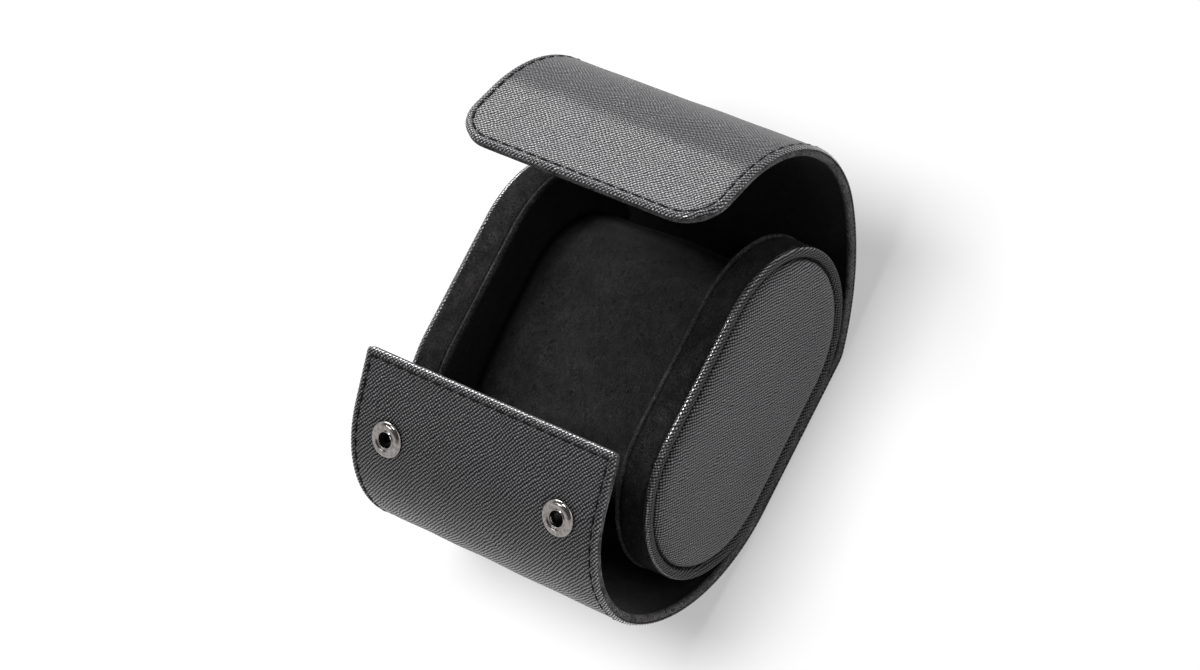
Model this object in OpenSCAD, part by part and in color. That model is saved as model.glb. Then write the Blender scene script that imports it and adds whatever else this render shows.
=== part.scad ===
// Travel case for one watch: a leather wrap round two padded oval end caps,
// closed by two press studs. It lies on its flat back, opening upwards.
// X runs across the wrap, Y along the flat back, Z up from the surface it lies on.
// The origin is on the resting face, under the middle of the end caps.

/* [Wrap] */
// Width of the wrap across the case
wrap_w = 104; // [96:1:114]
// Thickness of the outer leather, and of its edges turned down round the board
leather_t = 0.8; // [0.7:0.05:1]
// Thickness of the stiffening board
board_t = 0.8; // [0.6:0.05:1.1]
// Thickness of the foam-backed suede lining
lining_t = 1.6; // [1.3:0.1:2]
// How far the lining is drawn in from the leather's edge
lining_inset = 0.5; // [0.2:0.1:1.4]

/* [Flat back] */
// Length of the flat back from the case's middle towards the front flap
back_front = 22.5; // [22.2:0.1:26]
// Length of the flat back from the case's middle towards the closing flap
back_top = 34; // [28:0.5:38]

/* [Front flap] */
// Radius of the lower curve, next to the back
curve_r = 58; // [54:0.5:64]
// Angle that the lower curve turns before the front flap's hinge
curve_fixed_a = 32; // [26:1:38]
// Angle that the lower curve turns in the front flap
curve_moving_a = 44; // [40:1:48]
// Radius of the front flap's upper bend
bend_r = 44.5; // [40:0.5:50]
// Angle that the front flap's upper bend turns
bend_a = 79; // [72:1:84]
// Straight length at the front flap's edge
front_straight = 19.5; // [15:0.5:21]
// Corner radius of the front flap
front_corner_r = 2; // [1:0.5:5]
// Slant of the front flap's layers at its hinge, so that they don't meet as it closes
notch_a = 23; // [22.5:0.5:28]

/* [Closing flap] */
// Radius of the crease where the back turns up
crease_r = 10.5; // [8:0.5:14]
// Angle that each half of the crease turns
crease_half_a = 14.25; // [12:0.25:16]
// Radius of the upper curve
upper_r = 100; // [92:1:108]
// Angle that the upper curve turns
upper_a = 33; // [30:0.5:36]
// Radius of the closing flap's bend
flap_r = 49.5; // [45:0.5:54]
// Angle of that bend in the flexing leather
flap_flex_a = 40; // [36:1:44]
// Angle of that bend in the stiff flap
flap_stiff_a = 52; // [47:1:56]
// Straight length at the closing flap's end
flap_straight = 23.5; // [20:0.5:28]
// Corner radius of the closing flap
flap_corner_r = 14.5; // [8:0.5:17]

/* [End caps] */
// Half length of an end cap
cap_half_l = 59.5; // [54:0.5:61]
// Half height of an end cap
cap_half_h = 37.3; // [35:0.1:39]
// Distance from the case's middle to an end cap's rim
cap_rim_x = 51.6; // [49:0.1:53]
// Distance from the case's middle to an end cap's inner face
cap_inner_x = 38.3; // [35:0.1:41]
// Thickness of the inner disc
disc_t = 1.9; // [1.2:0.1:2.6]
// How far the inner disc is drawn in from the band
disc_inset = 0.5; // [0.2:0.1:1.2]
// Thickness of the suede band
band_t = 0.8; // [0.5:0.1:1.2]
// Thickness of the cap's leather
face_t = 0.9; // [0.6:0.1:1.3]
// How far the cap's leather turns over the rim
face_turn = 3; // [2.2:0.2:5]
// Rounding radius of the cap's rim
rim_r = 1.6; // [1.2:0.1:2]
// Rise of the padded face above the rim
dome_h = 0.9; // [0.3:0.1:1.8]
// Thickness of the foam pad at its edge
pad_t = 1.6; // [1:0.1:2.4]

/* [Cushion] */
// Half length of the cushion
cushion_half_l = 46.1; // [40:0.5:48]
// Half height of the cushion
cushion_half_h = 28.3; // [24:0.1:31]
// Place of the cushion's middle along the back
cushion_y = 1.1; // [-2:0.1:4]
// How far the cushion's ends are drawn in
cushion_draw = 3.4; // [1.5:0.1:5]
// Thickness of the cushion's suede cover
cover_t = 1.2; // [0.8:0.1:1.6]
// Gap between the cushion and its neighbours
cushion_gap = 0.3; // [0.2:0.05:0.6]

/* [Press studs] */
// Distance from the case's middle to each press stud
stud_x = 36; // [28:0.5:40]
// Distance from the front flap's edge to the sockets
socket_inset = 27.5; // [26.5:0.1:28.5]
// Distance from the closing flap's end to the studs
stud_inset = 9; // [7.5:0.1:10.5]
// Radius of a socket's ring
ring_r = 6.25; // [5.2:0.05:7]
// Height of a socket's ring above the leather
ring_h = 1.35; // [1:0.05:1.7]
// Depth of the ring's seat in the leather
seat_d = 0.45; // [0.3:0.05:0.6]
// Radius of a socket's opening
socket_hole_r = 2.8; // [2.6:0.05:3.1]
// Wall of a socket's neck
neck_wall = 0.6; // [0.4:0.05:0.9]
// Depth of a socket's neck below the leather's surface
neck_d = 1; // [0.9:0.05:1.3]
// Thickness of the springs' wire
wire_t = 0.5; // [0.36:0.02:0.56]
// Radius of a stud's head
stud_head_r = 2.45; // [2.2:0.05:2.5]
// Height of a stud
stud_h = 2.55; // [2.2:0.05:2.65]
// Radius of a stud's base
stud_base_r = 4.2; // [3.4:0.1:5]
// Thickness of a stud's base
stud_base_t = 0.6; // [0.4:0.05:0.8]
// Radius of a rivet's shank
shank_r = 1.2; // [0.9:0.05:1.4]
// Radius of a rivet's head
rivet_head_r = 4; // [3:0.1:5]
// Thickness of a rivet's head
rivet_head_t = 0.4; // [0.3:0.05:0.6]
// Radius of an eyelet's barrel
barrel_r = 2.55; // [2.2:0.05:2.65]
// Radius of an eyelet's flange
flange_r = 4.5; // [3.6:0.1:5.4]
// Thickness of metal sheet in the eyelets
metal_t = 0.5; // [0.35:0.05:0.7]
// Gap round a metal piece in its hole
fit_gap = 0.05; // [0.02:0.01:0.1]

/* [Hidden] */
$fn = 96;

leather_color = [0.20, 0.20, 0.22];
suede_color = [0.07, 0.06, 0.06];
board_color = [0.55, 0.50, 0.44];
foam_color = [0.80, 0.78, 0.70];
metal_color = [0.42, 0.41, 0.42];
spring_color = [0.75, 0.73, 0.68];

// Depths below the wrap's outer surface
board_d = leather_t;
lining_d = leather_t + board_t;
wrap_t = lining_d + lining_t;

// Each stretch of the wrap is [radius, angle] for a bend or [0, length] for a straight
lower_list = [[curve_r, curve_fixed_a]];
front_list = [[curve_r, curve_moving_a], [bend_r, bend_a], [0, front_straight]];
crease_list = [[crease_r, crease_half_a]];
flex_list = [[crease_r, crease_half_a], [upper_r, upper_a], [flap_r, flap_flex_a]];
flap_list = [[flap_r, flap_stiff_a], [0, flap_straight]];

// Places along the wrap are [along the back, up, heading]; the front's are mirrored
front_start = [back_front, 0, 0];
hinge_place = place_after(front_start, lower_list);
socket_place = place_at(hinge_place, front_list, stretch_length(front_list) - socket_inset);
upper_start = [back_top, 0, 0];
crease_place = place_after(upper_start, crease_list);
flap_place = place_after(crease_place, flex_list);
stud_place = place_at(flap_place, flap_list, stretch_length(flap_list) - stud_inset);

// How far a cutter reaches past what it cuts
cut_over = 1;
corner_least_r = 0.4;

// Runs of places that the fixed and the flexing layers follow
facet_a = 3;
lower_run = mirrored(reversed(concat([front_start], places(front_start, lower_list))));
flat_run = concat([[-back_front, 0, 0], upper_start], places(upper_start, crease_list));
back_run = concat(lower_run, tail(flat_run));
flex_run = concat([crease_place], places(crease_place, flex_list));

// End caps
cap_z = wrap_t + cap_half_h;
cap_straight = cap_half_l - cap_half_h;
core_x = cap_inner_x + disc_t;
face_edge_x = cap_rim_x - face_turn;
pad_x = cap_rim_x - face_t - pad_t;
dome_steps = 10;
rim_steps = 5;

// Cushion
cushion_half_w = cap_inner_x - cushion_gap;
cushion_z = wrap_t + cushion_gap + cushion_half_h;
cushion_sides = 16;
cushion_stations = 5;
cushion_power = 5;
station_power = 0.6;

// Press studs
neck_r = socket_hole_r + neck_wall;
groove_low = 0.2;
groove_high = 0.85;
groove_d = 0.7;
groove_r = socket_hole_r + groove_d;
socket_floor_t = 0.25;
lip_t = 0.15;
lip_z = socket_floor_t - neck_d;
lip_r = socket_hole_r - fit_gap;
spring_start_a = 15;
wire_sides = 24;
stud_neck_r = 1.95;
head_t = 0.8;
stud_bore_h = 1.2;
shank_tip_gap = 0.1;

// Rounded edges, as steps of [in from the edge, down from the top]
ring_edge = [[0, 1], [0.35, 0.6], [1.2, 0.15], [2, 0]];
head_edge = [[0, 0.55], [0, 0.3], [0.5, 0]];
base_edge = [[0, 0.3], [0.4, 0]];

// The socket's mouth, as steps of [out from the opening, down from the top]
socket_mouth = [[0.7, 0.1], [0, 0.4]];

// The inner disc's edge, as steps of [in from the edge, back from the face]
disc_edge = [[0.8, 0], [0.25, 0.2], [0, 0.75]];

function bend_rise(r, a) = r * (1 - cos(a));

// The place reached by going one stretch on
function step(p, s) =
    let (ahead = s[0] > 0 ? s[0] * sin(s[1]) : s[1])
    let (side = s[0] > 0 ? bend_rise(s[0], s[1]) : 0)
    let (turn = s[0] > 0 ? s[1] : 0)
    [p[0] + ahead * cos(p[2]) - side * sin(p[2]),
     p[1] + ahead * sin(p[2]) + side * cos(p[2]),
     p[2] + turn];

function tail(list) = len(list) < 2 ? [] : [for (i = [1:len(list) - 1]) list[i]];

function place_after(p, list) = len(list) == 0 ? p : place_after(step(p, list[0]), tail(list));

function one_length(s) = s[0] > 0 ? s[0] * s[1] * PI / 180 : s[1];

function stretch_length(list) = len(list) == 0 ? 0 : one_length(list[0]) + stretch_length(tail(list));

function part_of(s, l) = s[0] > 0 ? [s[0], l / s[0] * 180 / PI] : [0, l];

// The place that lies a length along the wrap
function place_at(p, list, l) =
    l <= one_length(list[0]) ? step(p, part_of(list[0], l))
    : place_at(step(p, list[0]), tail(list), l - one_length(list[0]));

// ---- Frames ----

// From the section's frame (along the back, up, across) to the case's
module across() rotate([90, 0, 90]) children();

module upper_side() across() children();

module front_side() across() mirror([1, 0, 0]) children();

module at_place(p) translate([p[0], p[1], 0]) rotate([0, 0, p[2]]) children();

// Both press studs, turned so that z points out of the leather or in from the lining
module both_studs(p, depth, inward) {
    for (side = [-1, 1])
        at_place(p)
            translate([0, depth, side * stud_x])
                rotate([inward ? -90 : 90, 0, 0])
                    children();
}

// ---- Layers of the wrap ----

// Places along a run of stretches, close enough together for a smooth bend
function stretch_places(p, s) =
    let (count = s[0] > 0 ? ceil(s[1] / facet_a) : 1)
    [for (i = [1:count]) step(p, part_of(s, one_length(s) * i / count))];

function places(p, list) =
    len(list) == 0 ? [] : concat(stretch_places(p, list[0]), places(step(p, list[0]), tail(list)));

function reversed(list) = [for (i = [len(list) - 1:-1:0]) list[i]];

function mirrored(list) = [for (p = list) [-p[0], p[1], -p[2]]];

// A point at a depth below the outer surface
function sunk(p, depth) = [p[0] - depth * sin(p[2]), p[1] + depth * cos(p[2])];

// The first point moved on past the start, away from the second point
function moved(point, next, length) = point + length * (point - next) / norm(point - next);

// The line of a run at a depth, longer by a lead at each end, with its start cut at a slant
function line_at(run, depth, leads, slant) =
    let (points = [for (p = run) sunk(p, depth)])
    let (last = len(points) - 1)
    concat([moved(points[0], points[1], leads[0] - depth * tan(slant))],
        [for (i = [1:1:last - 1]) points[i]],
        [moved(points[last], points[last - 1], leads[1])]);

// One layer: the band between two depths, drawn in from the side edges
module band(run, d0, d1, inset, leads = [0, 0], slant = 0) {
    translate([0, 0, -wrap_w / 2 + inset])
        linear_extrude(wrap_w - 2 * inset)
            polygon(concat(line_at(run, d0, leads, slant), reversed(line_at(run, d1, leads, slant))));
}

// What a rounded corner takes off a layer, at both ends of a flap's edge
module corner_cuts(edge, corner_r, inset) {
    r = max(corner_r - inset, corner_least_r);
    for (side = [0, 1])
        at_place(edge)
            mirror([0, 0, side])
                translate([-inset - r, 2 * wrap_t, wrap_w / 2 - inset - r])
                    rotate([90, 0, 0])
                        linear_extrude(3 * wrap_t)
                            difference() {
                                square(r + cut_over);
                                circle(r);
                            }
}

// A band whose far end is a flap's edge, with its corners rounded
module flap_band(start, list, d0, d1, inset, lead, corner_r, slant) {
    last = len(list) - 1;
    short = [for (i = [0:last]) i < last ? list[i] : [0, list[i][1] - inset]];
    difference() {
        band(concat([start], places(start, short)), d0, d1, inset, [lead, 0], slant);
        corner_cuts(place_after(start, list), corner_r, inset);
    }
}

// Leather with its side edges turned down round the board
module turned_band(run) {
    difference() {
        band(run, 0, lining_d, 0);
        band(run, board_d, 2 * lining_d, leather_t, [cut_over, cut_over]);
    }
}

// The same on a flap, turned down round its end as well
module turned_flap(start, list, corner_r, slant) {
    difference() {
        flap_band(start, list, 0, lining_d, 0, 0, corner_r, slant);
        flap_band(start, list, board_d, 2 * lining_d, leather_t, 2 * cut_over, corner_r, 0);
    }
}

// ---- Back of the wrap, fixed ----

module back_leather() color(leather_color) upper_side() turned_band(back_run);

module back_board() color(board_color) upper_side() band(flat_run, board_d, lining_d, leather_t);

module lower_board() {
    color(board_color)
        upper_side() band(lower_run, board_d, lining_d, leather_t);
}

module back_lining() {
    color(suede_color)
        upper_side() band(back_run, lining_d, wrap_t, lining_inset);
}

// ---- Upper curve, which flexes as the case closes ----

module upper_leather() color(leather_color) upper_side() turned_band(flex_run);

module upper_board() color(board_color) upper_side() band(flex_run, board_d, lining_d, leather_t);

module upper_lining() {
    color(suede_color)
        upper_side() band(flex_run, lining_d, wrap_t, lining_inset);
}

// ---- Front flap ----

module front_leather() {
    color(leather_color)
        front_side()
            difference() {
                turned_flap(hinge_place, front_list, front_corner_r, notch_a);
                both_studs(socket_place, 0, false) {
                    translate([0, 0, -seat_d]) cylinder(h = seat_d + cut_over, r = ring_r + fit_gap);
                    translate([0, 0, -wrap_t]) cylinder(h = wrap_t, r = neck_r + fit_gap);
                }
            }
}

module front_board() {
    color(board_color)
        front_side()
            difference() {
                flap_band(hinge_place, front_list, board_d, lining_d, leather_t, 0, front_corner_r, notch_a);
                both_studs(socket_place, 0, false)
                    translate([0, 0, -2 * wrap_t]) cylinder(h = 2 * wrap_t, r = neck_r + fit_gap);
            }
}

module front_lining() {
    color(suede_color)
        front_side()
            difference() {
                flap_band(hinge_place, front_list, lining_d, wrap_t, lining_inset, 0,
                    front_corner_r, notch_a);
                both_studs(socket_place, 0, false) {
                    translate([0, 0, -2 * wrap_t]) cylinder(h = 2 * wrap_t, r = barrel_r + fit_gap);
                    translate([0, 0, -2 * wrap_t]) cylinder(h = wrap_t, r = flange_r + fit_gap);
                }
            }
}

// ---- Press studs ----

// Points of a rounded edge that ends at a radius and a height
function rounded_edge(steps, r, top) = [for (s = steps) [r - s[0], top - s[1]]];

// Ring with a hole, a groove for the springs and a neck that goes through the leather
module socket_profile() {
    difference() {
        union() {
            polygon(concat([[socket_hole_r, -seat_d], [ring_r, -seat_d]],
                rounded_edge(ring_edge, ring_r, ring_h),
                [for (s = socket_mouth) [socket_hole_r + s[0], ring_h - s[1]]]));
            translate([socket_hole_r, -neck_d])
                square([neck_wall, neck_d]);
            translate([barrel_r + fit_gap, -neck_d])
                square([neck_r - barrel_r - fit_gap, socket_floor_t]);
        }
        translate([0, groove_low])
            square([groove_r, groove_high - groove_low]);
    }
}

module snap_sockets() {
    color(metal_color)
        front_side()
            both_studs(socket_place, 0, false)
                rotate_extrude() socket_profile();
}

// Two curved wires in each socket's groove
module socket_springs() {
    color(spring_color)
        front_side()
            both_studs(socket_place, 0, false)
                for (half_turn = [0, 180])
                    rotate([0, 0, spring_start_a + half_turn])
                        rotate_extrude(angle = 180 - 2 * spring_start_a)
                            translate([groove_r - wire_t, (groove_low + groove_high) / 2])
                                circle(wire_t / 2, $fn = wire_sides);
}

module socket_eyelets() {
    color(metal_color)
        front_side()
            both_studs(socket_place, 0, false)
                rotate_extrude()
                    polygon([[barrel_r - metal_t, -wrap_t - metal_t], [flange_r, -wrap_t - metal_t],
                        [flange_r, -wrap_t], [barrel_r, -wrap_t], [barrel_r, lip_z],
                        [lip_r, lip_z], [lip_r, lip_z + lip_t], [barrel_r - metal_t, lip_z + lip_t]]);
}

module snap_studs() {
    color(metal_color)
        upper_side()
            both_studs(stud_place, wrap_t, true)
                rotate_extrude()
                    difference() {
                        polygon(concat([[0, 0], [stud_base_r, 0]],
                            rounded_edge(base_edge, stud_base_r, stud_base_t),
                            [[stud_neck_r, stud_base_t], [stud_neck_r, stud_h - head_t]],
                            rounded_edge(head_edge, stud_head_r, stud_h), [[0, stud_h]]));
                        translate([-cut_over, -cut_over])
                            square([shank_r + fit_gap + cut_over, stud_bore_h + cut_over]);
                    }
}

// Hidden under the leather: a flat head and a shank that holds the stud
module stud_rivets() {
    color(metal_color)
        upper_side()
            both_studs(stud_place, leather_t, true) {
                cylinder(h = rivet_head_t, r = rivet_head_r);
                cylinder(h = wrap_t - leather_t + stud_bore_h - shank_tip_gap, r = shank_r);
            }
}

// ---- Closing flap ----

module flap_leather() {
    color(leather_color)
        upper_side() turned_flap(flap_place, flap_list, flap_corner_r, 0);
}

module shank_cut() {
    translate([0, 0, -cut_over])
        cylinder(h = wrap_t + 2 * cut_over, r = shank_r + fit_gap);
}

module flap_board() {
    color(board_color)
        upper_side()
            difference() {
                flap_band(flap_place, flap_list, board_d, lining_d, leather_t, 0, flap_corner_r, 0);
                both_studs(stud_place, board_d, true) {
                    translate([0, 0, -cut_over])
                        cylinder(h = rivet_head_t + fit_gap + cut_over, r = rivet_head_r + fit_gap);
                    shank_cut();
                }
            }
}

module flap_lining() {
    color(suede_color)
        upper_side()
            difference() {
                flap_band(flap_place, flap_list, lining_d, wrap_t, lining_inset, 0, flap_corner_r, 0);
                both_studs(stud_place, board_d, true) shank_cut();
            }
}

// ---- End caps ----

// An oval body from a profile drawn as [distance from the middle line, distance outward]
module oval(half_straight) {
    for (side = [-1, 1])
        translate([side * half_straight, 0, 0])
            rotate([0, 0, side * 90 - 180])
                rotate_extrude(angle = 180) children();
    rotate([90, 0, 90])
        translate([0, 0, -half_straight])
            linear_extrude(2 * half_straight) {
                children();
                mirror([1, 0]) children();
            }
}

module cap_oval() translate([0, cap_z, 0]) oval(cap_straight) children();

// Height of the padded face over the rim, at a distance from the middle line
function dome(u) = dome_h * (1 - pow(u / (cap_half_h - rim_r), 2));

// Outer outline of the cap's leather, drawn in by a depth
function face_outline(depth) = concat(
    [for (i = [0:dome_steps])
        let (u = (cap_half_h - rim_r) * i / dome_steps)
        [u, cap_rim_x - depth + dome(u)]],
    [for (i = [1:rim_steps])
        let (a = 90 - 90 * i / rim_steps)
        [cap_half_h - rim_r + (rim_r - depth) * cos(a), cap_rim_x - rim_r + (rim_r - depth) * sin(a)]]);

module face_profile() {
    polygon(concat(face_outline(0), [[cap_half_h, face_edge_x], [cap_half_h - face_t, face_edge_x]],
        [for (i = [dome_steps + rim_steps:-1:0]) face_outline(face_t)[i]]));
}

module pad_profile() {
    polygon(concat([[0, pad_x]], face_outline(face_t), [[cap_half_h - face_t, pad_x]]));
}

module core_profile() {
    translate([0, core_x]) square([cap_half_h - face_t, pad_x - core_x]);
}

module band_profile() {
    translate([cap_half_h - band_t, core_x]) square([band_t, face_edge_x - core_x]);
}

module disc_profile() {
    r = cap_half_h - disc_inset;
    polygon(concat([[0, cap_inner_x]],
        [for (s = disc_edge) [r - s[0], cap_inner_x + s[1]]], [[r, core_x], [0, core_x]]));
}

module cap_core() color(board_color) cap_oval() core_profile();

module cap_band() color(suede_color) cap_oval() band_profile();

module cap_disc() color(suede_color) cap_oval() disc_profile();

module cap_pad() color(foam_color) cap_oval() pad_profile();

module cap_face() color(leather_color) cap_oval() face_profile();

module right() across() children();

module left() mirror([1, 0, 0]) across() children();

// ---- Cushion ----

// One ring of the oval at a station across the case; its ends are drawn in
function crown(t) = 1 - pow(abs(t), cushion_power);

function cushion_ring(t, shrink) =
    let (draw = cushion_draw * (1 - crown(t)) + shrink)
    let (r = cushion_half_h - draw)
    let (flat_l = cushion_half_l - cushion_half_h)
    [for (side = [1, -1]) for (i = [0:cushion_sides - 1])
        let (a = -90 + 180 * i / (cushion_sides - 1) + (side > 0 ? 0 : 180))
        [t * (cushion_half_w - shrink), cushion_y + side * flat_l + r * cos(a), cushion_z + r * sin(a)]];

function station(i) =
    let (s = i / cushion_stations)
    s < 0 ? -pow(-s, station_power) : pow(s, station_power);

module cushion_body(shrink) {
    count = 2 * cushion_sides;
    rings = 2 * cushion_stations + 1;
    points = [for (i = [-cushion_stations:cushion_stations]) each cushion_ring(station(i), shrink)];
    walls = [for (i = [0:rings - 2]) for (j = [0:count - 1])
        let (k = (j + 1) % count)
        each [[i * count + j, (i + 1) * count + j, (i + 1) * count + k],
              [i * count + j, (i + 1) * count + k, i * count + k]]];
    low_end = [for (j = [1:count - 2]) [0, j, j + 1]];
    high_end = [for (j = [1:count - 2]) [(rings - 1) * count, (rings - 1) * count + j + 1,
        (rings - 1) * count + j]];
    polyhedron(points = points, faces = concat(walls, low_end, high_end), convexity = 2);
}

module cushion_cover() {
    color(suede_color)
        difference() {
            cushion_body(0);
            cushion_body(cover_t);
        }
}

module cushion_foam() color(foam_color) cushion_body(cover_t + fit_gap);

back_leather();
back_board();
lower_board();
back_lining();
upper_leather();
upper_board();
upper_lining();
front_leather();
front_board();
front_lining();
snap_sockets();
socket_springs();
socket_eyelets();
flap_leather();
flap_board();
flap_lining();
snap_studs();
stud_rivets();
left() cap_core();  // left_cap_core
left() cap_band();  // left_cap_band
left() cap_disc();  // left_cap_disc
left() cap_pad();  // left_cap_pad
left() cap_face();  // left_cap_face
right() cap_core();  // right_cap_core
right() cap_band();  // right_cap_band
right() cap_disc();  // right_cap_disc
right() cap_pad();  // right_cap_pad
right() cap_face();  // right_cap_face
cushion_foam();
cushion_cover();
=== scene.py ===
"""Looks of the watch travel case: leather, suede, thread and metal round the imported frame."""

import math

import bmesh
import bpy
import numpy as np
from mathutils import Matrix


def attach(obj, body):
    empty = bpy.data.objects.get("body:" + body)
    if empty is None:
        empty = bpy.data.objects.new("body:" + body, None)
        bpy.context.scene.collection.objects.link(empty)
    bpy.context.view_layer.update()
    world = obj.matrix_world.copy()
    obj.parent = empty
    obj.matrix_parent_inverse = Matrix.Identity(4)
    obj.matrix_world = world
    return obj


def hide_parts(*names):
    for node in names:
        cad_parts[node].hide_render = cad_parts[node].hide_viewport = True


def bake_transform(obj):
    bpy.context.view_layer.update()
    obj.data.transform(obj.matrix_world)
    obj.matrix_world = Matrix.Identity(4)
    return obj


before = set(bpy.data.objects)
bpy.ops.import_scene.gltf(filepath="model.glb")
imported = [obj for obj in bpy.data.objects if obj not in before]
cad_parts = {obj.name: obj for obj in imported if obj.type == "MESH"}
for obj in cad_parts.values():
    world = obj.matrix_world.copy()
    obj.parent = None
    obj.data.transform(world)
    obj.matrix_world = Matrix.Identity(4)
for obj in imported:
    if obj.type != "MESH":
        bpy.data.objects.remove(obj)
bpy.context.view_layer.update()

MM = 0.001

# ---- Driving sizes, in millimetres and degrees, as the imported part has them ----
WRAP_W = 104.0
SPLIT_Y = 6.0            # where the wrap's two pieces meet, on the flat back
BACK_FRONT = 22.5        # the flat back's length in front of the middle
BACK_TOP = 34.0          # and behind it
WRAP_T = 3.2             # leather, board and lining together
CURVE_R, CURVE_A = 58.0, 76.0
BEND_R, BEND_A = 44.5, 79.0
FRONT_STRAIGHT = 19.5
FRONT_CORNER_R = 2.0
HINGE_A = 32.0           # the front flap's hinge line, round the lower curve
CREASE_R, CREASE_A = 10.5, 28.5
UPPER_R, UPPER_A = 100.0, 33.0
FLAP_R, FLAP_A, FLAP_FLEX_A = 49.5, 92.0, 40.0
FLAP_STRAIGHT = 23.5
FLAP_CORNER_R = 14.5
CAP_HALF_L, CAP_HALF_H = 59.5, 37.3
CAP_Z = WRAP_T + CAP_HALF_H
CUSHION_HALF_L, CUSHION_HALF_H = 46.1, 28.3
CUSHION_HALF_W = 38.0
CUSHION_GAP = 0.3        # between the cushion and the lining under it
CUSHION_Y = 1.1
CUSHION_Z = WRAP_T + CUSHION_GAP + CUSHION_HALF_H
STUD_X = 36.0
SOCKET_INSET = 27.5      # from the front flap's edge to the sockets' middles
HOLE_R = 3.5             # in leather and board, for a socket's neck
LINING_HOLE_R = 2.6
DENT = 0.3               # how deep a socket presses the leather in
DENT_R, DENT_FADE = 6.9, 0.35
STITCH_E = 2.7           # stitch line's distance from the wrap's edge
STITCH_PITCH = 5.3
STITCH_JITTER = 0.028    # how far a stitch strays from its line, at random
STITCH_SLANT = 0.12      # and from one of its ends to the other
CAP_STITCH_E = 4.18      # the same line on the end caps
CAP_STITCH_PITCH = 3.0
CAP_STITCH_GAP = 0.12    # free at both ends of a stitch, as a share of the pitch
CAP_GROOVE_X = 50.2      # floor of the groove that the caps' stitches lie in
CAP_STITCH_RISE = 0.4    # how far a stitch's middle stands over that floor
THREAD_R, CAP_THREAD_R = 0.33, 0.22
LINING_INSET = 0.25      # how far the lining and the board stay behind the leather's edge
BOARD_INSET = 1.75

# Small unevenness of the surfaces: height and length of its waves
LEATHER_WAVES = (0.1, 26.0)
FACE_WAVES = (0.12, 24.0)
CUSHION_WAVES = (0.7, 30.0)
NO_WAVES = (0.0, 1.0)

# Stretches of the wrap from the split outward: a straight one is (0, length), an arc (radius, angle)
FRONT_SIDE = [(0.0, SPLIT_Y + BACK_FRONT), (CURVE_R, CURVE_A), (BEND_R, BEND_A), (0.0, FRONT_STRAIGHT)]
TOP_SIDE = [(0.0, BACK_TOP - SPLIT_Y), (CREASE_R, CREASE_A), (UPPER_R, UPPER_A), (FLAP_R, FLAP_A),
            (0.0, FLAP_STRAIGHT)]


def stretch_length(seg):
    return seg[0] * math.radians(seg[1]) if seg[0] > 0 else seg[1]


def side_length(side):
    return sum(stretch_length(seg) for seg in side)


def along_stretch(seg, length):
    """How far ahead and aside a length along one stretch leads, and how far it turns."""
    if seg[0] == 0:
        return length, 0.0 * length, 0.0 * length
    a = length / seg[0]
    return seg[0] * np.sin(a), seg[0] * (1 - np.cos(a)), a


def wrap_places(side, s):
    """Places along the wrap's outer surface for lengths s from the split: (y, z, heading), as arrays.
    They are measured as on the top side; the front side is its mirror image in Y."""
    s = np.asarray(s, float)
    y, z, h, done = 0.0, 0.0, 0.0, 0.0
    out_y, out_z, out_h = np.zeros(s.shape), np.zeros(s.shape), np.zeros(s.shape)
    for i, seg in enumerate(side):
        length = stretch_length(seg)
        here = s >= done - 1e-9 if i else np.ones(s.shape, bool)
        ahead, rise, turn = along_stretch(seg, s[here] - done)
        out_y[here] = y + ahead * math.cos(h) - rise * math.sin(h)
        out_z[here] = z + ahead * math.sin(h) + rise * math.cos(h)
        out_h[here] = h + turn
        ahead, rise, turn = along_stretch(seg, np.array(length))
        y, z, h = (y + ahead * math.cos(h) - rise * math.sin(h),
                   z + ahead * math.sin(h) + rise * math.cos(h), h + turn)
        done += length
    return out_y, out_z, out_h


def on_wrap(side, s, t, d):
    """Points in metres for lengths s, places t across and depths d, all in millimetres."""
    s, t, d = np.broadcast_arrays(np.asarray(s, float), np.asarray(t, float), np.asarray(d, float))
    y, z, h = wrap_places(side, s)
    y, z = y - d * np.sin(h), z + d * np.cos(h)
    y = SPLIT_Y + y if side is TOP_SIDE else SPLIT_Y - y
    return np.stack([t, y, np.maximum(z, 0.0)], -1) * MM


# ---- Mesh helpers ----

INSIDE = 99.0            # an edge distance, in millimetres, for places far from every edge
TUBE_SIDES = 6


def make_mesh(name, points, faces, material, flat, edge=INSIDE, seam=0.0):
    """A mesh object. The materials read flat, a point's place in the grain's pattern, and rim, which holds
    its distance from the edge, both in millimetres, and how much painted shade a seam lays on the grain,
    which also dulls it, from 0 to 1."""
    mesh = bpy.data.meshes.new(name)
    mesh.from_pydata([tuple(p) for p in points], [], [tuple(int(i) for i in f) for f in faces])
    rim = np.zeros((len(points), 3))
    rim[:, 0], rim[:, 1] = edge, seam
    for label, values in (("flat", flat), ("rim", rim)):
        attribute = mesh.attributes.new(label, "FLOAT_VECTOR", "POINT")
        attribute.data.foreach_set("vector", np.asarray(values, np.float32).ravel())
    work = bmesh.new()
    work.from_mesh(mesh)
    bmesh.ops.recalc_face_normals(work, faces=work.faces)
    work.to_mesh(mesh)
    work.free()
    mesh.polygons.foreach_set("use_smooth", [True] * len(mesh.polygons))
    piece = bpy.data.objects.new(name, mesh)
    bpy.context.scene.collection.objects.link(piece)
    mesh.materials.append(material)
    return piece


def waviness(p, seed, size):
    """A smooth wobble between about -1 and 1 at points p, in millimetres, with features of a size."""
    rng = np.random.default_rng(seed)
    total = np.zeros(p.shape[0])
    for _ in range(7):
        k = rng.normal(size=p.shape[1])
        k *= 2 * math.pi / size / np.linalg.norm(k) * rng.uniform(0.6, 1.5)
        total += np.sin(p @ k + rng.uniform(0, 2 * math.pi))
    return total / 7 ** 0.5 / 1.4


def fade_in(distance, start, over):
    """0 up to start, 1 past start + over, and a ramp between them."""
    return np.clip((distance - start) / over, 0, 1)


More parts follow.
